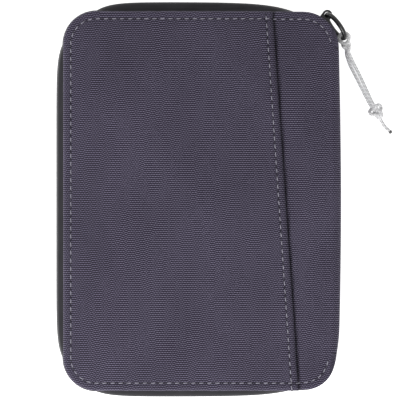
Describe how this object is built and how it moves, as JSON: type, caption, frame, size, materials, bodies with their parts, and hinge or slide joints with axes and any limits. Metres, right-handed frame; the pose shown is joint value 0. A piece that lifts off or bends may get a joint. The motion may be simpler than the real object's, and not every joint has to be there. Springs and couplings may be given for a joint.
{
  "type": "passport wallet",
  "caption": "Zip-around fabric passport wallet that opens flat like a book, with a slanted slip pocket, card pockets and a knotted cord zip pull.",
  "frame": {"origin": "middle of the cover's outline, on the flat face of the back cover that the wallet rests on", "axes": "+Z is the thickness, from the back cover to the front; +X points to the spine; +Y points to the short edge where the slider parks"},
  "size_m": [0.1301, 0.152, 0.02],
  "materials": {
    "cover_fabric": "matte plain-weave nylon, slate violet grey",
    "zip_tape": "matte woven polyester tape, charcoal",
    "zip_coil": "satin nylon coil, black",
    "lining": "fine woven polyester, grey",
    "foam": "closed-cell foam",
    "shielding_film": "satin metallised film",
    "spine_board": "matte sheet",
    "black_metal": "semi-gloss black",
    "cord": "braided polyester, light grey with dark flecks"
  },
  "bodies": {
    "back_cover": {"back_panel": "cover_fabric", "back_foam": "foam", "back_shielding_film": "shielding_film", "back_lining": "lining", "passport_pocket": "lining", "back_zip_tape": "zip_tape", "back_zip_coil": "zip_coil", "back_top_stop": "black_metal", "back_bottom_stop": "black_metal"},
    "spine": {"spine_panel": "cover_fabric", "spine_stiffener": "spine_board", "spine_lining": "lining"},
    "front_cover": {"front_panel": "cover_fabric", "front_slip_pocket": "cover_fabric", "front_foam": "foam", "front_shielding_film": "shielding_film", "front_lining": "lining", "document_pocket": "lining", "card_pocket_upper": "lining", "card_pocket_middle": "lining", "card_pocket_lower": "lining", "front_zip_tape": "zip_tape", "front_zip_coil": "zip_coil", "front_top_stop": "black_metal", "front_bottom_stop": "black_metal"},
    "slider": {"slider_body": "black_metal"},
    "puller": {"pull_ring": "black_metal"},
    "pull_cord": {"cord_ring_loop": "cord", "cord_upper_knot": "cord", "cord_upper_leg": "cord", "cord_lower_leg": "cord", "cord_lower_knot": "cord", "cord_tail": "cord", "cord_sealed_tip": "cord"}
  },
  "joints": [
    {"name": "spine_hinge", "type": "hinge", "parent": "back_cover", "child": "spine", "pos_m": [0.0529, 0, 0.001], "axis": [0, 1, 0], "range_deg": [0, 90]},
    {"name": "cover_hinge", "type": "hinge", "parent": "spine", "child": "front_cover", "pos_m": [0.0529, 0, 0.019], "axis": [0, 1, 0], "range_deg": [0, 90]},
    {"name": "slider_travel", "type": "hinge", "parent": "back_cover", "child": "slider", "pos_m": [0.03905, 0.05895, 0.01], "axis": [0, 0, 1], "range_deg": [0, 26]},
    {"name": "puller_pivot", "type": "hinge", "parent": "slider", "child": "puller", "pos_m": [0.04867, 0.07186, 0.01], "axis": [0, 0, 1], "range_deg": [0, 95]},
    {"name": "cord_swing", "type": "hinge", "parent": "puller", "child": "pull_cord", "pos_m": [0.0552, 0.06288, 0.01], "axis": [0, 0, 1], "range_deg": [0, 108]}
  ],
  "couplings": [
    {"joint": "spine_hinge", "follows": "cover_hinge", "ratio": 1},
    {"joint": "cord_swing", "follows": "cover_hinge", "ratio": 1.2}
  ]
}
